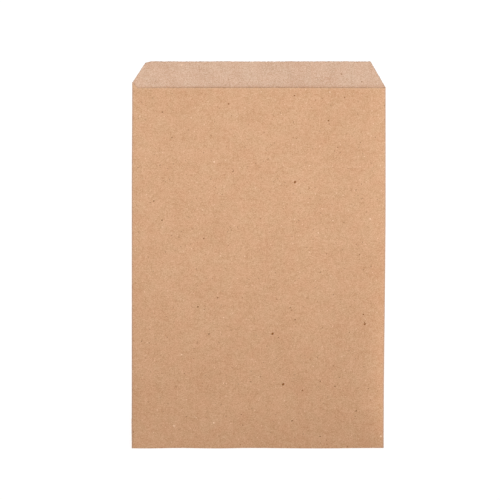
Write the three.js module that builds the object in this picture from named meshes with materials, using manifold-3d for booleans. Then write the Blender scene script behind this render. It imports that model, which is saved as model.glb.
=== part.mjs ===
// A flat kraft paper merchandise bag, lying on its back with its mouth towards +Y.
//
// It is one sheet of paper. The sheet goes round once as a flat tube, and its two long edges lap
// in a glued seam on the back. One straight cut across the front, slanted at the creases and
// higher on the back, makes the mouth with its lip. The same cut, one bag length further down,
// makes the other end: there the front ply is the long one, and it is folded up onto the back
// and glued.
//
// Millimetres, +Z up, X across the bag. The origin is the centre of the bottom of its box.

import * as THREE from 'three';
import Module from 'manifold-3d';

// The sheet
const PAPER = 0.1; // thickness
const PLY_GAP = 0.2; // air between two plies that are pressed flat, and inside a crease

// The flat bag
const WIDTH = 150; // over the two side creases
const FRONT_HEIGHT = 212.8; // from the bag's bottom edge to the front's straight edge
const LIP = 15.7; // how much higher the back is cut
const BOTTOM_FOLD = 20; // how far the glued end reaches up the back
const RIGHT_RUN_IN = 1.2; // the right crease stands this far in at the bottom
const RUN_START = 150; // height above which it runs true, as the left one does throughout
const FLAP_SKEW = 0.2; // the folded end lies this far to the left at its tip

// The cut at the corners of the mouth, which the two creases don't meet quite alike
const RIGHT_CUT_RISE = 0.6; // it crosses the right crease this far above the front's edge
const RIGHT_CUT_WIDTH = 8.9; // from the crease to where it reaches the lip's top edge
const LEFT_CUT_RISE = 3.4;
const LEFT_RISE_WIDTH = 3.4; // the front's edge climbs to the left crease over this width
const LEFT_CUT_WIDTH = 7.8; // the steep part of the left slant
const LEFT_CHAMFER_WIDTH = 3.2; // and its last, flat part, up to the lip's top edge
const LEFT_CHAMFER_HEIGHT = 0.75;

// The long seam on the back
const SEAM_LAP = 12; // width of the glued overlap
const SEAM_SIDE = 25; // from the middle of the bag to the middle of the overlap
const SEAM_RAMP = 3; // the upper ply climbs onto the lower one over this width

// How the bag lies
const CROWN = 1.2; // how far the front stands off the back in its middle
const CROWN_HEIGHT = 95; // height of that place
const MOUTH_GAPE = 1.3; // and in the middle of the mouth
const RIGHT_FULLNESS = 2; // the right side stands off further by this near the bottom
const FULL_START = 150; // and it starts to at this height
const EDGE_FLATNESS = 16; // power of the arch there: the front stays up until close to the crease
const RIGHT_EDGE_SHARE = 0.4; // how much of that the right side has all the way up
const BOTTOM_FLATNESS = 8; // power of the arch at the bottom edge
const FOLD_RADIUS = 0.08; // inside of the bottom fold
const GLUE = 0.05; // line of paste under the folded end
const GLUE_SIDE_MARGIN = 16; // from its ends to the creases
const GLUE_TIP_MARGIN = 2; // from it to the tip of the folded end
const GLUE_START = 10; // from the bottom edge to it
const PASTE_GRIP = 0.03; // how deep the paste sits in the paper on each side
const SETTLE = 12; // the back comes down to the ground over this length past the folded end

// How finely the sheet is divided
const CREASE_STEPS = 4;
const FOLD_STEPS = 6;
const ACROSS_STEP = 11;
const ALONG_STEP = 14;
const END_STEP = 0.3; // on the folded end, as a share of its length
const MOUTH_STEP = 0.34; // above MOUTH_START, as a share of what is left
const MOUTH_START = FRONT_HEIGHT - 12;

const halfWidth = WIDTH / 2;
const creaseInside = PLY_GAP / 2;
const creaseOutside = creaseInside + PAPER;
const creaseX = halfWidth - creaseOutside; // centre of the right crease's round
const bothPlies = 2 * PAPER + PLY_GAP;
const foldOutside = FOLD_RADIUS + bothPlies;
const stack = 2 * FOLD_RADIUS + bothPlies; // ground to the back, over the folded end
const backHeight = FRONT_HEIGHT + LIP;
const cutLength = FRONT_HEIGHT + BOTTOM_FOLD; // from one cut of the tube to the next
const shortPly = BOTTOM_FOLD - LIP; // how far the back ply reaches on the folded end
const seamLeft = SEAM_SIDE - SEAM_LAP / 2;
const seamRight = SEAM_SIDE + SEAM_LAP / 2;

const mix = (from, to, share) => from + (to - from) * share;
const ease = share => THREE.MathUtils.smoothstep(share, 0, 1);

// Height on a polyline outline at a place across the bag.
function outlineHeight(corners, x) {
  const next = Math.max(1, corners.findIndex(([cornerX]) => cornerX >= x));
  const [[x0, height0], [x1, height1]] = [corners[next - 1], corners[next]];
  return mix(height0, height1, (x - x0) / (x1 - x0));
}

// The cut, as heights above the bottom edge.
const leftCrossing = FRONT_HEIGHT + LEFT_CUT_RISE;
const rightCrossing = FRONT_HEIGHT + RIGHT_CUT_RISE;
const frontCut = [
  [-creaseX, leftCrossing],
  [-halfWidth + LEFT_RISE_WIDTH, FRONT_HEIGHT],
  [creaseX, FRONT_HEIGHT],
];
const backCut = [
  [-creaseX, leftCrossing],
  [-halfWidth + LEFT_CUT_WIDTH, backHeight - LEFT_CHAMFER_HEIGHT],
  [-halfWidth + LEFT_CUT_WIDTH + LEFT_CHAMFER_WIDTH, backHeight],
  [halfWidth - RIGHT_CUT_WIDTH, backHeight],
  [creaseX, rightCrossing],
];

// Places from the first corner to the last, with even steps between the corners.
function placesBetween(corners, step) {
  const places = corners.slice(0, 1);
  for (let i = 1; i < corners.length; i++) {
    const count = Math.ceil((corners[i] - corners[i - 1]) / step);
    for (let k = 1; k <= count; k++) places.push(mix(corners[i - 1], corners[i], k / count));
  }
  return places;
}

// The section is a ring of columns round the flat tube. Each column has a point on the outer and
// one on the inner face of the sheet, as [across, depth], with depth from the back's outer face
// towards the front. cut is the height of the mouth's cut there.

function backColumn(x, outerDepth = 0, innerDepth = PAPER, innerX = x) {
  return { outer: [x, outerDepth], inner: [innerX, innerDepth], cut: outlineHeight(backCut, x) };
}

// The back from left to right. Left of the seam the sheet climbs onto the ply from the right.
function backColumns() {
  const corners = backCut.map(([x]) => x);
  const leftPlaces = [...corners.slice(1, 3), seamLeft - SEAM_RAMP];
  const rightPlaces = corners.slice(3, -1);
  return [
    ...leftPlaces.map(x => backColumn(x)),
    backColumn(seamLeft, PAPER, 2 * PAPER),
    backColumn(seamLeft, 0, 2 * PAPER, seamRight),
    backColumn(seamRight, 0, PAPER, seamRight),
    ...rightPlaces.map(x => backColumn(x)),
  ];
}

// The front from right to left, without its ends, which belong to the creases.
function frontColumns() {
  const pasteEnd = halfWidth - GLUE_SIDE_MARGIN;
  const corners = [
    ...frontCut.slice(0, 2).map(([x]) => x), -pasteEnd, pasteEnd,
    halfWidth - RIGHT_CUT_WIDTH / 2, creaseX,
  ];
  const places = placesBetween(corners, ACROSS_STEP).slice(1, -1).reverse();
  return places.map(x => ({
    outer: [x, bothPlies],
    inner: [x, bothPlies - PAPER],
    cut: outlineHeight(frontCut, x),
    front: true,
  }));
}

// A crease, as a half turn from the back to the front at the right, and back again at the left.
function creaseColumns(side) {
  const columns = [];
  for (let i = 0; i <= CREASE_STEPS; i++) {
    const angle = side * Math.PI * (i / CREASE_STEPS - 0.5);
    const at = radius => [
      side * (creaseX + radius * Math.cos(angle)),
      creaseOutside + radius * Math.sin(angle),
    ];
    const cut = side > 0 ? rightCrossing : leftCrossing;
    columns.push({ outer: at(creaseOutside), inner: at(creaseInside), cut });
  }
  return columns;
}

// How far the front stands off, above the gap between pressed plies.
function crownAt(x, height) {
  const across = Math.abs(x / creaseX);
  const edge = across ** EDGE_FLATNESS;
  const rightward = ease(x / creaseX);
  const below = Math.max(1 - (height - foldOutside) / (CROWN_HEIGHT - foldOutside), 0);
  const above = Math.max(height - CROWN_HEIGHT, 0) / (FRONT_HEIGHT - CROWN_HEIGHT);
  const arch = 1 - mix(across ** 2, edge, RIGHT_EDGE_SHARE * rightward);
  const fuller = RIGHT_FULLNESS * rightward * (1 - edge) * (1 - ease(height / FULL_START));
  return (mix(CROWN, MOUTH_GAPE, ease(above)) * arch + fuller) * (1 - below ** BOTTOM_FLATNESS);
}

// The creases aren't quite parallel: x as it is at this height.
function runningX(x, height) {
  const run = 1 - ease(height / RUN_START);
  return x - RIGHT_RUN_IN * run * (x + halfWidth) / WIDTH;
}

// On the flat tube. The back lies on the ground, and on its own folded end at the bottom.
function onTube({ front }, [x, depth], height) {
  const ground = stack * (1 - ease((height - BOTTOM_FOLD) / SETTLE));
  const lift = front ? crownAt(x, height) : 0;
  return [runningX(x, height), height, ground + depth + lift];
}

// Round the bottom fold, by an angle from 0 at the tube to a half turn at the folded end.
function onFold([x, depth], angle) {
  const radius = FOLD_RADIUS + depth;
  const height = foldOutside - radius * Math.sin(angle);
  return [runningX(x, 0), height, stack - FOLD_RADIUS + radius * Math.cos(angle)];
}

// On the folded end. Past the short back ply the front ply is pressed up to the back and pasted.
function onEnd({ front }, [x, depth], height) {
  const cutWidth = Math.max(RIGHT_CUT_WIDTH, LEFT_CUT_WIDTH);
  const inward = ease((halfWidth - Math.abs(x) - cutWidth) / (GLUE_SIDE_MARGIN - cutWidth));
  const upward = ease((height - shortPly) / (GLUE_START - shortPly));
  const pressed = front ? (stack - GLUE - PAPER) * inward * upward : 0;
  const skewed = runningX(x, 0) - FLAP_SKEW * height / BOTTOM_FOLD;
  return [skewed, height, bothPlies - depth + pressed];
}

// The rows along the sheet, from the tip of the folded end to the mouth.
function rowsAlong() {
  const settled = BOTTOM_FOLD + SETTLE;
  const heights = placesBetween(
    [foldOutside, BOTTOM_FOLD, BOTTOM_FOLD + SETTLE / 2, settled, MOUTH_START], ALONG_STEP,
  );
  const turns = [];
  for (let i = FOLD_STEPS; i > 0; i--) turns.push(Math.PI * i / FOLD_STEPS);
  const pasteShare = (GLUE_START - foldOutside) / (BOTTOM_FOLD - foldOutside);
  const endShares = placesBetween([0, pasteShare, 1], END_STEP).slice(1).reverse();
  const mouthShares = placesBetween([0, 1], MOUTH_STEP).slice(1);
  return [
    ...endShares.map(share => (column, point) =>
      onEnd(column, point, mix(foldOutside, cutLength - column.cut, share))),
    ...turns.map(angle => (column, point) => onFold(point, angle)),
    ...heights.map(height => (column, point) => onTube(column, point, height)),
    ...mouthShares.map(share => (column, point) =>
      onTube(column, point, mix(MOUTH_START, column.cut, share))),
  ];
}

// The sheet as one closed skin: its outer and inner faces, joined along both cut ends.
function foldedSheet() {
  const columns = [...backColumns(), ...creaseColumns(1), ...frontColumns(), ...creaseColumns(-1)];
  const rows = rowsAlong();
  const count = columns.length;
  const vertices = [];
  for (const row of rows) {
    for (const column of columns) vertices.push(...row(column, column.outer));
    for (const column of columns) vertices.push(...row(column, column.inner));
  }
  const outer = (row, column) => row * 2 * count + column % count;
  const inner = (row, column) => outer(row, column) + count;
  const triangles = [];
  const quad = (a, b, c, d) => triangles.push(a, c, b, a, d, c);
  const last = rows.length - 1;
  for (let c = 0; c < count; c++) {
    for (let r = 0; r < last; r++) {
      quad(outer(r, c), outer(r, c + 1), outer(r + 1, c + 1), outer(r + 1, c));
      quad(inner(r, c), inner(r + 1, c), inner(r + 1, c + 1), inner(r, c + 1));
    }
    quad(outer(last, c), outer(last, c + 1), inner(last, c + 1), inner(last, c));
    quad(outer(0, c), inner(0, c), inner(0, c + 1), outer(0, c + 1));
  }
  return solidFrom(vertices, triangles);
}

// The line of paste between the folded end and the back.
function pasteLine() {
  const length = BOTTOM_FOLD - GLUE_TIP_MARGIN - GLUE_START;
  const width = WIDTH - 2 * (GLUE_SIDE_MARGIN + RIGHT_RUN_IN);
  const line = new THREE.BoxGeometry(width, length, GLUE + 2 * PASTE_GRIP);
  line.translate(runningX(0, 0), GLUE_START + length / 2, stack - GLUE / 2);
  return solidFrom(...mergedCorners(line.attributes.position, line.index));
}

// A box's corners as shared vertices, so that it is closed.
function mergedCorners(position, index) {
  const found = new Map();
  const vertices = [];
  const shared = [];
  for (let i = 0; i < position.count; i++) {
    const corner = [position.getX(i), position.getY(i), position.getZ(i)];
    const key = corner.join();
    if (!found.has(key)) {
      found.set(key, found.size);
      vertices.push(...corner);
    }
    shared.push(found.get(key));
  }
  return [vertices, Array.from(index.array, i => shared[i])];
}

const wasm = await Module();
wasm.setup();

function solidFrom(vertices, triangles) {
  return new wasm.Manifold(new wasm.Mesh({
    numProp: 3,
    vertProperties: Float32Array.from(vertices),
    triVerts: Uint32Array.from(triangles),
  }));
}

function geometryOf(solid) {
  const mesh = solid.getMesh();
  const geometry = new THREE.BufferGeometry();
  geometry.setAttribute('position', new THREE.BufferAttribute(mesh.vertProperties, 3));
  geometry.setIndex(new THREE.BufferAttribute(mesh.triVerts, 1));
  geometry.computeVertexNormals();
  return geometry;
}

const kraft = new THREE.MeshStandardMaterial({ color: 0xd6a985, roughness: 0.85, metalness: 0 });

const bag = new THREE.Mesh(geometryOf(foldedSheet().add(pasteLine())), kraft);
bag.name = 'bag';
// The sheet is made with its bottom edge at y = 0. The folded end stands out at the left.
bag.position.set(FLAP_SKEW / 2, -backHeight / 2, 0);

const root = new THREE.Group();
root.add(bag);

export default root;
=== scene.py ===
"""A flat kraft paper merchandise bag, lying on its back, seen from straight above.

The bag is made as the real one is: a flat blank of paper is cut to its outline, its two sides are
folded under the front and lapped in a seam, the bottom is folded up onto the back, and the paper
gets its thickness last. Everything is in metres, in the CAD's frame.
"""
import math

import bpy
import numpy as np
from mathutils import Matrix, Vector, noise


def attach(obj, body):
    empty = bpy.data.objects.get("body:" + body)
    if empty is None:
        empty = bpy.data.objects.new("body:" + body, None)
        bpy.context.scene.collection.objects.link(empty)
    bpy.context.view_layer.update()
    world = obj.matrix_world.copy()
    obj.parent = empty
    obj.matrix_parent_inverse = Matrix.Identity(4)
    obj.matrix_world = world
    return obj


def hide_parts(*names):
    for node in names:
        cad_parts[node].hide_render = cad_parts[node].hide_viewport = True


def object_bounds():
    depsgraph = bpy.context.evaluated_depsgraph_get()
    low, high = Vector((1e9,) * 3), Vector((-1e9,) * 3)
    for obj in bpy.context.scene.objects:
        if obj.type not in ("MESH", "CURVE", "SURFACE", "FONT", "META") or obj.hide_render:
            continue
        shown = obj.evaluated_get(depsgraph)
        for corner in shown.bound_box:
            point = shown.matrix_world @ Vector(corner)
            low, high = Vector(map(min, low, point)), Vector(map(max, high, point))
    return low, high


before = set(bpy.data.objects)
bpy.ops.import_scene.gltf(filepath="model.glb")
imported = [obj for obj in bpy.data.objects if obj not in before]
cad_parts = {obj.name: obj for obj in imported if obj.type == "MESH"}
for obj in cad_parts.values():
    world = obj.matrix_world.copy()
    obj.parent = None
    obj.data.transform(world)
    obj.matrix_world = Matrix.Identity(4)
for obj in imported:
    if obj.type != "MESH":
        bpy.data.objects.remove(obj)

cad_low, cad_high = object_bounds()
MM = 0.001

# The sheet and the flat bag, as in the CAD
PAPER = 0.1 * MM
PLY_GAP = 0.2 * MM  # between the front and the back, at a crease
WIDTH = 150 * MM
LIP = 15.7 * MM  # how far the back stands above the front
BACK_HEIGHT = cad_high.y - cad_low.y
FRONT_HEIGHT = BACK_HEIGHT - LIP
BOTTOM_FOLD = 20 * MM
RIGHT_RUN_IN = 1.2 * MM  # of the right side, at the bottom
RIGHT_RUN_START = 150 * MM
LEFT_RUN_IN = 0.25 * MM  # of the left side, at the mouth
LEFT_RUN_START = 150 * MM
FLAP_SKEW = 0.2 * MM  # the folded end's edge lies this far to the left

# The cut at the mouth's corners: it rises from the front's edge to the crease, and from there
# slants up the back to the lip's edge, with a chamfer on the left
RIGHT_CUT_RISE = 0.6 * MM
RIGHT_RISE_WIDTH = 1 * MM
RIGHT_CUT_WIDTH = 8.9 * MM
LEFT_CUT_RISE = 3.4 * MM
LEFT_RISE_WIDTH = 3.4 * MM
LEFT_CUT_WIDTH = 7.8 * MM
LEFT_CHAMFER_WIDTH = 3.2 * MM
LEFT_CHAMFER_HEIGHT = 0.75 * MM

# The long seam on the back
SEAM_LAP = 12 * MM
SEAM_SIDE = 25 * MM  # from the bag's middle to the lap's
SEAM_RAMP = 3 * MM  # where one ply climbs onto the other
PASTE = 0.02 * MM

# How the bag lies
CROWN = 1.2 * MM
CROWN_HEIGHT = 95 * MM  # up the front, where it is fullest
EDGE_FLATNESS = 16  # a power: the higher, the nearer to the right crease the front stays full
BOTTOM_FLATNESS = 8  # the same for the bottom fold
RIGHT_EDGE_SHARE = 0.4  # how much of that the right side has
RIGHT_FULLNESS = 1.6 * MM  # more crown at the right, near the bottom
FULL_START = 150 * MM
MOUTH_GAPE = 1.3 * MM
FOLD_RADIUS = 0.08 * MM
FLAP_GAP = 0.05 * MM  # between the folded end and the back, where it is pasted
PASTE_SIDE_MARGIN = 16 * MM
PASTE_START = 10 * MM
SETTLE = 12 * MM  # over which the back comes down from the folded end to the ground

# Small unevenness of the real paper
CUT_ROUGHNESS = 0.14 * MM
TORN_WAVES = ((0.35, 0.9, 3), (1.3, 1.3, 8))  # waves to a millimetre, how strong, noise layer
BOTTOM_RIPPLE = 0.13 * MM
RIPPLE_MIDDLE = -4 * MM
RIPPLE_LEFT = 21 * MM  # from its middle, where the fold is drawn in, to where it is furthest out
RIPPLE_RIGHT = 38 * MM
RIPPLE_REACH = 14 * MM  # up from the bottom fold
WAVE_DEPTH = 0.3 * MM
WAVE_LENGTH = 26 * MM
WAVE_LAYER = 5
WAVE_FADE = 1 * MM  # the waves fade where the front is nearer to the back

# How finely the sheet is divided
CELL = 1.45 * MM
TURN_STEPS = 6
TURN_LINE = 0.004 * MM  # between two lines of a fold, on the blank
CUT_EDGE_POINTS = 3  # more points on each cell's cut edge
SAME_POINT = 1e-7  # a cut uses a point that is this near
ON_CUT = 1e-6  # a point this near is on the cut

half_width = WIDTH / 2
crease_middle = PLY_GAP / 2 + PAPER / 2  # radius of the paper's middle in a crease
crease_x = half_width - PLY_GAP / 2 - PAPER
both_plies = 2 * PAPER + PLY_GAP
fold_outside = FOLD_RADIUS + both_plies
stack = 2 * FOLD_RADIUS + both_plies
cut_length = FRONT_HEIGHT + BOTTOM_FOLD
short_ply = BOTTOM_FOLD - LIP
seam_left, seam_right = SEAM_SIDE - SEAM_LAP / 2, SEAM_SIDE + SEAM_LAP / 2
turn_length = TURN_STEPS * TURN_LINE
side_start = crease_x + turn_length  # where a side ply starts on the blank
blank_left = -(side_start + crease_x + seam_right)
blank_right = side_start + crease_x - seam_left
front_level = stack + both_plies - PAPER / 2  # the front's middle, on the pressed tube
centre_x = FLAP_SKEW / 2  # brings the middle of the bag's box to the frame's


def mix(start, end, share):
    return start + (end - start) * share


def ease(share):
    share = np.clip(share, 0, 1)
    return share * share * (3 - 2 * share)


# Modelling helpers. The blank's own coordinates, across and along, stay with each point as the
# attribute "sheet", so a ply can be found after it is folded and the grain follows the paper.

def read(piece, name="position"):
    data = piece.data.attributes[name].data
    values = np.empty(len(data) * 3)
    data.foreach_get("vector", values)
    return values.reshape(-1, 3)


def write(piece, values, name="position"):
    piece.data.attributes[name].data.foreach_set("vector", np.ascontiguousarray(values).ravel())
    piece.data.update()


def select(piece, kind, chosen):
    """Selects the chosen points or faces, a mask, and enters edit mode."""
    bpy.ops.object.mode_set(mode="OBJECT")
    mesh = piece.data
    parts = {"VERT": mesh.vertices, "EDGE": mesh.edges, "FACE": mesh.polygons}
    for part in parts.values():
        part.foreach_set("select", np.zeros(len(part), bool))
    parts[kind].foreach_set("select", chosen)
    bpy.ops.object.mode_set(mode="EDIT")
    bpy.ops.mesh.select_mode(type=kind)


def select_faces(piece, choose):
    """Selects the faces whose middles choose picks, and enters edit mode."""
    bpy.ops.object.mode_set(mode="OBJECT")
    faces = piece.data.polygons
    middles = np.empty(len(faces) * 3)
    faces.foreach_get("center", middles)
    select(piece, "FACE", choose(*middles.reshape(-1, 3)[:, :2].T))


def cut_line(piece, across, along, normal, between=(-1, 1)):
    """Cuts the blank along a line, between two places across it."""
    select_faces(piece, lambda x, y: (x > between[0]) & (x < between[1]))
    bpy.ops.mesh.bisect(plane_co=(across, along, 0), plane_no=normal, threshold=SAME_POINT)


def trim(piece, outline, side, shift=0.0):
    """Cuts the blank along an outline of (across, along) corners, and drops what is past it: above
    it for side 1, below it for side -1. The outline is first moved down by shift."""
    for (x0, y0), (x1, y1) in zip(outline, outline[1:]):
        normal = Vector((y0 - y1, x1 - x0, 0)).normalized()
        cut_line(piece, x0, y0 - shift, normal, (x0, x1))
    corners = np.array(outline).T
    select_faces(piece, lambda x, y: side * (y + shift - np.interp(x, *corners)) > 0)
    bpy.ops.mesh.delete(type="FACE")


def fold(piece, past, centre, axis, way):
    """Folds the paper half round a centre, by a part of the turn at each line of the fold. past is
    how far each point lies past the first line on the blank, and way is 1 or -1."""
    for step in range(TURN_STEPS):
        select(piece, "VERT", past > (step + 0.5) * TURN_LINE)
        bpy.ops.transform.rotate(
            value=way * math.pi / TURN_STEPS, orient_axis=axis, center_override=centre,
        )
    bpy.ops.object.mode_set(mode="OBJECT")


# The blank

def mouth_outline():
    """The mouth's cut from the blank's left edge to its right edge, above the bottom edge."""
    left = FRONT_HEIGHT + LEFT_CUT_RISE
    right = FRONT_HEIGHT + RIGHT_CUT_RISE
    past_left_cut = side_start + LEFT_CUT_WIDTH - half_width + crease_x
    past_right_cut = side_start + RIGHT_CUT_WIDTH - half_width + crease_x
    return [
        (blank_left, BACK_HEIGHT),
        (-past_left_cut - LEFT_CHAMFER_WIDTH, BACK_HEIGHT),
        (-past_left_cut, BACK_HEIGHT - LEFT_CHAMFER_HEIGHT),
        (-side_start, left),
        (-crease_x, left),
        (-half_width + LEFT_RISE_WIDTH, FRONT_HEIGHT),
        (half_width - RIGHT_RISE_WIDTH, FRONT_HEIGHT),
        (crease_x, right),
        (side_start, right),
        (past_right_cut, BACK_HEIGHT),
        (blank_right, BACK_HEIGHT),
    ]


def cut_blank():
    """A flat blank with its outer side up, cut at both ends, with lines where it will fold."""
    width, length = blank_right - blank_left, BACK_HEIGHT + BOTTOM_FOLD
    middle = ((blank_left + blank_right) / 2, (BACK_HEIGHT - BOTTOM_FOLD) / 2, 0)
    bpy.ops.object.select_all(action="DESELECT")
    bpy.ops.mesh.primitive_grid_add(
        x_subdivisions=round(width / CELL), y_subdivisions=round(length / CELL), size=1,
    )
    blank = bpy.context.object
    blank.name = "paper_bag"
    bpy.ops.transform.resize(value=(width, length, 1))
    bpy.ops.transform.translate(value=middle)
    bpy.ops.object.transform_apply()
    outline = mouth_outline()
    turn = [step * TURN_LINE for step in range(TURN_STEPS + 1)]
    lines = [side * (crease_x + line) for side in (-1, 1) for line in turn]
    lines += [x for x, _ in outline[1:-1] if abs(abs(x) - crease_x) > 1.5 * turn_length]
    lines += [blank_left + SEAM_LAP, blank_left + SEAM_LAP + SEAM_RAMP]
    for x in lines:
        cut_line(blank, x, 0, (1, 0, 0))
    for line in turn:
        cut_line(blank, 0, fold_outside - line, (0, 1, 0))
    trim(blank, outline, 1)
    trim(blank, outline, -1, shift=cut_length)
    roughen_cuts(blank, np.array(outline))
    mark_places(blank, np.array(outline))
    return blank


def roughen_cuts(blank, outline):
    """Puts more points on both cut ends, and pulls them a little up and down."""
    def from_cut(points):
        past = points[:, 1] - np.interp(points[:, 0], *outline.T)
        return np.minimum(np.abs(past), np.abs(past + cut_length))

    bpy.ops.object.mode_set(mode="OBJECT")
    select(blank, "VERT", from_cut(read(blank)) < ON_CUT)
    bpy.ops.mesh.select_mode(type="EDGE")
    bpy.ops.mesh.subdivide(number_cuts=CUT_EDGE_POINTS)
    bpy.ops.object.mode_set(mode="OBJECT")
    points = read(blank)
    for i in np.flatnonzero(from_cut(points) < ON_CUT):
        x, y = points[i, :2] / MM
        points[i, 1] += CUT_ROUGHNESS * sum(
            strength * noise.noise((x * waves, y, layer)) for waves, strength, layer in TORN_WAVES
        )
    write(blank, points)


def mark_places(blank, outline):
    """Keeps each point's place on the blank, and how far it is from a cut end."""
    points = read(blank)
    blank.data.attributes.new("sheet", "FLOAT_VECTOR", "POINT")
    write(blank, points, "sheet")
    mouth = distance_to(outline, points[:, :2])
    bottom = distance_to(outline, points[:, :2] + (0, cut_length))
    rim = blank.data.attributes.new("from_cut", "FLOAT", "POINT")
    rim.data.foreach_set("value", np.minimum(mouth, bottom))


def distance_to(outline, points):
    nearest = np.full(len(points), np.inf)
    for start, end in zip(outline, outline[1:]):
        run = end - start
        share = np.clip((points - start) @ run / (run @ run), 0, 1)
        nearest = np.minimum(nearest, np.linalg.norm(points - start - share[:, None] * run, axis=1))
    return nearest


# Folding

def fold_bag(bag):
    """Folds the sides under, laps the seam, and folds the bottom up onto the back."""
    points = read(bag)
    lap = ease((blank_left + SEAM_LAP + SEAM_RAMP - points[:, 0]) / SEAM_RAMP)
    points[:, 2] = front_level - lap * (PAPER + PASTE)
    write(bag, points)
    across, along, _ = read(bag, "sheet").T
    for side in (-1, 1):
        centre = (side * crease_x, 0, front_level - crease_middle)
        fold(bag, side * across - crease_x, centre, "Y", -side)
    centre = (0, fold_outside, stack - FOLD_RADIUS)
    fold(bag, fold_outside - along, centre, "X", -1)


def crown_at(x, height):
    """How far the front stands off the back: fuller to the right near the bottom, as in the CAD."""
    across = np.clip(np.abs(x / crease_x), 0, 1)
    edge = across ** EDGE_FLATNESS
    rightward = ease(x / crease_x)
    below = np.clip(1 - (height - fold_outside) / (CROWN_HEIGHT - fold_outside), 0, 1)
    above = np.clip((height - CROWN_HEIGHT) / (FRONT_HEIGHT - CROWN_HEIGHT), 0, 1)
    lift = mix(CROWN, MOUTH_GAPE, ease(above))
    lift *= 1 - mix(across ** 2, edge, RIGHT_EDGE_SHARE * rightward)
    lift += RIGHT_FULLNESS * rightward * (1 - edge) * (1 - ease(height / FULL_START))
    lift *= 1 - below ** BOTTOM_FLATNESS
    for i in np.flatnonzero(lift > 0):
        place = Vector((x[i] / WAVE_LENGTH, height[i] / WAVE_LENGTH, WAVE_LAYER))
        lift[i] += WAVE_DEPTH * noise.noise(place) * min(lift[i] / WAVE_FADE, 1)
    return lift


def lay_down(bag):
    """Lets the folded bag settle: the front crowned, the back on the ground, the end pasted."""
    points, sheet = read(bag), read(bag, "sheet")
    x, height = points[:, 0].copy(), points[:, 1].copy()
    front = np.abs(sheet[:, 0]) < crease_x
    tube = sheet[:, 1] > fold_outside
    points[:, 2] += np.where(tube & front, crown_at(x, height), 0)
    points[:, 2] -= np.where(tube, stack * ease((height - BOTTOM_FOLD) / SETTLE), 0)

    # The folded end's long ply, pressed to the back past the short one
    cut_width = max(RIGHT_CUT_WIDTH, LEFT_CUT_WIDTH)
    inward = ease((half_width - np.abs(x) - cut_width) / (PASTE_SIDE_MARGIN - cut_width))
    upward = ease((height - short_ply) / (PASTE_START - short_ply))
    pressed = (stack - FLAP_GAP - PAPER) * inward * upward
    points[:, 2] += np.where(~tube & front, pressed, 0)

    # The sides run in, the folded end lies askew, and the bottom fold is a little wavy
    rightward = (x + half_width) / WIDTH
    at_mouth = ease((height - LEFT_RUN_START) / (FRONT_HEIGHT - LEFT_RUN_START))
    points[:, 0] -= RIGHT_RUN_IN * (1 - ease(height / RIGHT_RUN_START)) * rightward
    points[:, 0] += LEFT_RUN_IN * at_mouth * (1 - rightward)
    past_fold = ~tube & (height > fold_outside)
    points[:, 0] -= np.where(past_fold, FLAP_SKEW * height / BOTTOM_FOLD, 0)
    ripple_length = np.where(x < RIPPLE_MIDDLE, RIPPLE_LEFT, RIPPLE_RIGHT)
    ripple = -np.cos(math.pi * (x - RIPPLE_MIDDLE) / ripple_length)
    points[:, 1] -= BOTTOM_RIPPLE * ripple * (1 - ease(height / RIPPLE_REACH))
    points[:, 0] += centre_x
    points[:, 1] += cad_low.y
    write(bag, points)


def thicken(bag):
    """Gives the paper its thickness, with its inner face and its cut edges as materials 1 and 2."""
    bpy.ops.object.select_all(action="DESELECT")
    bag.select_set(True)
    bpy.context.view_layer.objects.active = bag
    solid = bag.modifiers.new("paper", "SOLIDIFY")
    solid.thickness = PAPER
    solid.offset = 0
    solid.use_even_offset = True
    solid.material_offset = 1
    solid.material_offset_rim = 2
    bpy.ops.object.modifier_apply(modifier=solid.name)
    bpy.ops.object.shade_smooth_by_angle(angle=math.radians(45))


# Materials

class Socket:
    """An output of a node. Arithmetic on it adds Math nodes."""

    def __init__(self, nodes, socket):
        self.nodes, self.socket = nodes, socket

    def __add__(self, other):
        return self.nodes.maths("ADD", self, other)

    def __sub__(self, other):
        return self.nodes.maths("SUBTRACT", self, other)

    def __rsub__(self, other):
        return self.nodes.maths("SUBTRACT", other, self)

    def __mul__(self, other):
        return self.nodes.maths("MULTIPLY", self, other)

    def __truediv__(self, other):
        return self.nodes.maths("DIVIDE", self, other)

    def __abs__(self):
        return self.nodes.maths("ABSOLUTE", self)

    __radd__, __rmul__ = __add__, __mul__


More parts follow.
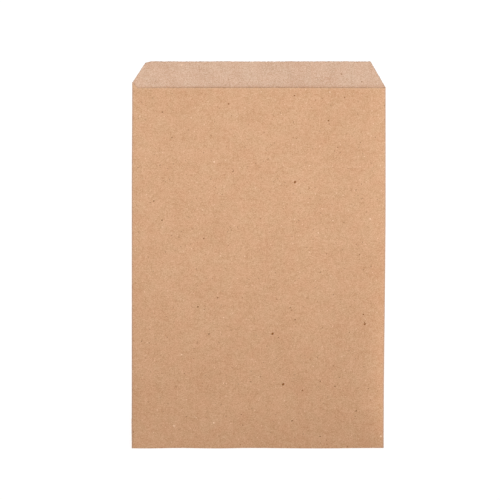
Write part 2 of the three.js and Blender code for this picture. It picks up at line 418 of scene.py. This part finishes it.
class Nodes:
    """The nodes of a new material, or of the world."""

    def __init__(self, owner):
        owner.use_nodes = True
        owner.node_tree.nodes.clear()
        self.owner, self.tree = owner, owner.node_tree

    def node(self, kind, settings=None, sockets=None, output=0):
        """Adds a node with its settings, sets or links its sockets, and returns an output."""
        made = self.tree.nodes.new("ShaderNode" + kind)
        for name, value in (settings or {}).items():
            setattr(made, name, value)
        items = sockets.items() if isinstance(sockets, dict) else enumerate(sockets or [])
        for name, value in items:
            if isinstance(value, Socket):
                self.tree.links.new(value.socket, made.inputs[name])
            else:
                made.inputs[name].default_value = value
        return Socket(self, made.outputs[output]) if made.outputs else None

    def maths(self, operation, *values):
        return self.node("Math", {"operation": operation}, values)

    def vector(self, operation, *values, output=0):
        return self.node("VectorMath", {"operation": operation}, values, output)

    def noise(self, place, scale, detail):
        sockets = {"Vector": place, "Scale": scale, "Detail": detail}
        return self.node("TexNoise", {}, sockets, "Fac")

    def ramp(self, value, low, high, to_low=0.0, to_high=1.0):
        sockets = [value, low, high, to_low, to_high]
        return self.node("MapRange", {"interpolation_type": "SMOOTHSTEP"}, sockets)

    def blend(self, share, first, second):
        """Blends two colours. The Mix node has sockets of each type, so these go by number."""
        return self.node("Mix", {"data_type": "RGBA"}, {0: share, 6: first, 7: second}, 2)

    def seen(self):
        """1 where the camera looks, straight or by a reflection or through glass."""
        rays = ("Is Camera Ray", "Is Glossy Ray", "Is Transmission Ray")
        return sum(self.node("LightPath", output=ray) for ray in rays)

    def finish(self, shader, output="OutputMaterial"):
        self.node(output, {}, {"Surface": shader})
        return self.owner


def linear(red, green, blue):
    """A colour as a screen shows it, from 0 to 255, as Blender's light values."""
    def one(value):
        value /= 255
        return value / 12.92 if value <= 0.04045 else ((value + 0.055) / 1.055) ** 2.4
    return (one(red), one(green), one(blue), 1)


# The paper's looks. Lengths are in millimetres here, apart from the bump's height.
TO_MM = 1000
GRAIN = (  # spots to a millimetre, and how strong they are
    (2.4, 1.5), (1.1, 0.64), (0.52, 0.32), (0.26, 0.21), (0.1, 0.17), (0.035, 0.15),
)
GRAIN_STEP = (19, 26.5, 29)  # from the paper's colour to its palest and deepest grain
LAYER_SHIFT = (31, 17, 40)  # so that the sheet's two sides don't have the same grain
BUMP_STRENGTH, BUMP_HEIGHT = 0.1, 0.01 * MM

# Flecks: spacing, largest radius, the share of places that have one, turn, stretch and strength
DARK_FLECKS = (
    (9, 0.48, 0.26, 0.4, 1.4, 1.0),
    (5, 0.34, 0.46, 1.9, 1.6, 0.63),
    (4, 0.26, 0.5, 2.7, 3.0, 0.5),
    (15, 0.82, 0.13, 0.9, 1.3, 1.0),
)
PALE_FLECKS = (
    (5, 0.37, 0.5, 1.1, 1.3, 0.75),
    (12, 0.6, 0.16, 2.3, 1.2, 1.0),
)
FLECK_DARK = linear(127, 74, 0)
FLECK_PALE = linear(249, 215, 183)
FLECK_CORE = 0.5  # a fleck is full up to this part of its radius
FLECK_FADE = 0.0001  # keeps the fade's two ends apart where there is no fleck

BLUSH = linear(230, 160, 130)
BLUSH_SHARE = 0.12
BLUSH_SPOTS, BLUSH_CONTRAST = 0.13, (0.3, 0.7)
# Darker along the creases: partly the paper's wear there, partly painted shade where it turns
CREASE_WEAR_AND_SHADE = linear(150, 138, 138)
WEAR_AND_SHADE_SHARE = 0.27
WEAR_AND_SHADE_REACH = (0.1, 0.9)
MOUTH_PAINTED_SHADOW = linear(196, 142, 100)  # painted shadow on the lip, along the front's edge
PAINTED_SHADOW_REACH = 2
RIM_HIGHLIGHT_SHARE = 0.3  # painted highlight on the cut edges: how much of the palest grain they have
RIM_HIGHLIGHT_REACH = (0.3, 1.5)
EDGE_SHADOW_BROWN = linear(96, 58, 32)  # painted shadow line along the cut edges, broken in places, with a few dark fibre tufts
EDGE_SHADOW_SHARE = 0.6
EDGE_SHADOW_REACH = (0.05, 0.4)
EDGE_SHADOW_SPOTS, EDGE_SHADOW_CONTRAST = 0.8, (0.35, 0.65)


def flecks(paper, place, spacing, radius, share, turn, stretch):
    """A mask of small spots, one to a cell of the spacing, in some share of the cells."""
    cos, sin = math.cos(turn), math.sin(turn)
    along = paper.vector("DOT_PRODUCT", place, (cos, sin, 0), output="Value")
    across = paper.vector("DOT_PRODUCT", place, (-sin, cos, 0), output="Value")
    spot_place = paper.node("CombineXYZ", {}, {"X": along / stretch, "Y": across})
    cells = {"voronoi_dimensions": "2D"}
    sockets = {"Vector": spot_place, "Scale": 1 / spacing}
    distance = paper.node("TexVoronoi", cells, sockets, "Distance") * spacing
    cell_colour = paper.node("TexVoronoi", cells, sockets, "Color")
    chance = paper.node("SeparateColor", {}, [cell_colour], "Red")
    size = paper.ramp(chance, 1 - share, 1, 0, radius)
    return paper.ramp(distance, size * FLECK_CORE, size + FLECK_FADE, 1, 0)


def kraft(name, colour, layer, outside=False, flecked=1.0, shade=0.0):
    """Kraft paper: cloudy, with a fine grain, short fibres, and dark and pale flecks. It is darker
    at the creases, partly wear and partly painted shade. All cut edges have a broken painted shadow
    line with a few dark tufts; outside, the cut edges and the long seam's edge have a painted
    highlight. shade paints a warm shadow on the lip next to the front's edge."""
    paper = Nodes(bpy.data.materials.new(name))
    sheet = paper.node("Attribute", {"attribute_name": "sheet"}, output="Vector")
    place = paper.vector("MULTIPLY", sheet, (TO_MM, TO_MM, TO_MM))
    place = paper.vector("ADD", place, tuple(layer * shift for shift in LAYER_SHIFT))
    across, height = (
        paper.node("SeparateXYZ", {}, [sheet], axis) * TO_MM for axis in ("X", "Y")
    )

    grain = sum(strength * (paper.noise(place, spots, 0) - 0.5) for spots, strength in GRAIN)
    pale = linear(*(value + step for value, step in zip(colour, GRAIN_STEP)))
    deep = linear(*(value - step for value, step in zip(colour, GRAIN_STEP)))
    tone = paper.blend(grain + 0.5, deep, pale)
    for fleck_colour, kinds in ((FLECK_DARK, DARK_FLECKS), (FLECK_PALE, PALE_FLECKS)):
        for *fleck, strength in kinds:
            mask = flecks(paper, place, *fleck)
            tone = paper.blend(mask * strength * flecked, tone, fleck_colour)
    blush = paper.ramp(paper.noise(place, BLUSH_SPOTS, 1), *BLUSH_CONTRAST)
    tone = paper.blend(blush * BLUSH_SHARE * flecked, tone, BLUSH)

    beside_crease = abs(abs(across) - crease_x * TO_MM)
    # painted shade and wear along both creases
    tone = paper.blend(paper.ramp(beside_crease, *WEAR_AND_SHADE_REACH, WEAR_AND_SHADE_SHARE, 0), tone, CREASE_WEAR_AND_SHADE)
    # painted shadow on the lip next to the front's edge, where the gap under it is shaded
    above_front = height - FRONT_HEIGHT * TO_MM
    tone = paper.blend(paper.ramp(above_front, 0, PAINTED_SHADOW_REACH, shade, 0), tone, MOUTH_PAINTED_SHADOW)
    rim = paper.node("Attribute", {"attribute_name": "from_cut"}, output="Fac") * TO_MM
    if outside:
        rim = paper.maths("MINIMUM", rim, across - blank_left * TO_MM)
        # painted highlight along the outside's cut edges and the seam's edge
        tone = paper.blend(paper.ramp(rim, *RIM_HIGHLIGHT_REACH, RIM_HIGHLIGHT_SHARE, 0), tone, pale)
    # A broken painted shadow line along the cut edges, with a few dark fibre tufts at the lip's
    # edge
    broken = paper.ramp(paper.noise(place, EDGE_SHADOW_SPOTS, 1), *EDGE_SHADOW_CONTRAST)
    tone = paper.blend(paper.ramp(rim, *EDGE_SHADOW_REACH, EDGE_SHADOW_SHARE, 0) * broken, tone, EDGE_SHADOW_BROWN)

    bump = paper.node("Bump", {}, {
        "Strength": BUMP_STRENGTH, "Distance": BUMP_HEIGHT, "Height": grain,
    })
    shader = paper.node("BsdfPrincipled", {}, {
        "Base Color": tone, "Roughness": 0.85, "Normal": bump, "Specular IOR Level": 0.2,
    })
    return paper.finish(shader)


def kraft_finishes():
    """The outer side, the inner side and the cut edges."""
    return (
        kraft("kraft_outer", (212, 165.7, 127.3), 0, outside=True),
        kraft("kraft_inner", (213.5, 177, 150), 1, flecked=0.6, shade=0.25),
        kraft("kraft_edge", (206, 166, 134), 2),
    )


# The floor, light and camera

WHITE = (1, 1, 1, 1)
FLOOR_SIZE = 6
FLOOR_DROP = 0.05 * MM  # the floor is this far below the bag's back, so they share no plane
FLOOR_GREY = (0.8, 0.8, 0.8, 1)
FLOOR_GLOW = 1.2
GLOW_SHARE = 0.72  # the rest takes the bag's shadow

PHOTO_SIZE = 500  # pixels
PIXEL = 0.5908 * MM  # at the bag
ORIGIN_IN_PHOTO = (258.52, 254.77)  # where the frame's origin is in the photo, in pixels
EYE_HEIGHT = 1.2
SENSOR = 36


def pale_floor():
    """A white floor that takes the bag's shadow. It is seen from above only, and other light
    passes it, so the bag's back can be looked at from below."""
    bpy.ops.object.select_all(action="DESELECT")
    bpy.ops.mesh.primitive_plane_add(size=FLOOR_SIZE, location=(0, 0, -FLOOR_DROP))
    floor = bpy.context.object
    floor.name = "floor"
    finish = Nodes(bpy.data.materials.new("pale_floor"))
    plain = finish.node("BsdfDiffuse", {}, {"Color": FLOOR_GREY})
    glow = finish.node("Emission", {}, {"Color": WHITE, "Strength": FLOOR_GLOW})
    lit = finish.node("MixShader", {}, [GLOW_SHARE, plain, glow])
    from_above = 1 - finish.node("NewGeometry", output="Backfacing")
    clear = finish.node("BsdfTransparent")
    shown = finish.node("MixShader", {}, [finish.seen() * from_above, clear, lit])
    floor.data.materials.append(finish.finish(shown))


def world_light(colour):
    """Soft light from all round, and white wherever the camera sees past the floor."""
    world = Nodes(bpy.data.worlds.new("studio"))
    light = world.node("Background", {}, {"Color": (*colour, 1)})
    white = world.node("Background", {}, {"Color": WHITE})
    shown = world.node("MixShader", {}, [world.seen(), light, white])
    bpy.context.scene.world = world.finish(shown, "OutputWorld")


def add_lamp(name, kind, strength):
    light = bpy.data.lights.new(name, kind)
    light.energy = strength
    lamp = bpy.data.objects.new(name, light)
    bpy.context.scene.collection.objects.link(lamp)
    return lamp


def strip_light(place, length, width, strength, colour):
    """A long soft lamp above the bag's upper part, pointing straight down."""
    lamp = add_lamp("key", "AREA", strength)
    lamp.visible_camera = False
    lamp.location = place
    light = lamp.data
    light.shape, light.size, light.size_y, light.color = "RECTANGLE", length, width, colour


def sun(name, source, strength, width):
    """A far lamp that shines from the direction of source. width is how wide it looks from the
    bag, in degrees."""
    lamp = add_lamp(name, "SUN", strength)
    lamp.data.angle = math.radians(width)
    lamp.rotation_euler = (-Vector(source)).to_track_quat("-Z", "Y").to_euler()


def overhead_camera():
    """Straight above, framed as the photo is."""
    camera = bpy.data.cameras.new("camera")
    camera.sensor_width = SENSOR
    camera.lens = SENSOR * EYE_HEIGHT / (PHOTO_SIZE * PIXEL)
    eye = bpy.data.objects.new("camera", camera)
    bpy.context.scene.collection.objects.link(eye)
    across, down = ORIGIN_IN_PHOTO
    middle = PHOTO_SIZE / 2
    eye.location = ((middle - across) * PIXEL, (down - middle) * PIXEL, EYE_HEIGHT)
    bpy.context.scene.camera = eye


bag = cut_blank()
fold_bag(bag)
lay_down(bag)
for finish in kraft_finishes():
    bag.data.materials.append(finish)
thicken(bag)
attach(bag, "root")
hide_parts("bag")

pale_floor()
world_light((0.36, 0.31, 0.27))
strip_light((0, 0.073, 0.221), length=1.6, width=0.2, strength=1.12, colour=(0.89, 1, 1.09))
sun("side", (1, 0.1, 0.447), strength=1.85, width=25)
sun("under", (-1, -0.5, -0.27), strength=4.6, width=4)  # shows the back's seam and folded end
overhead_camera()
bpy.context.scene.view_settings.view_transform = "Standard"
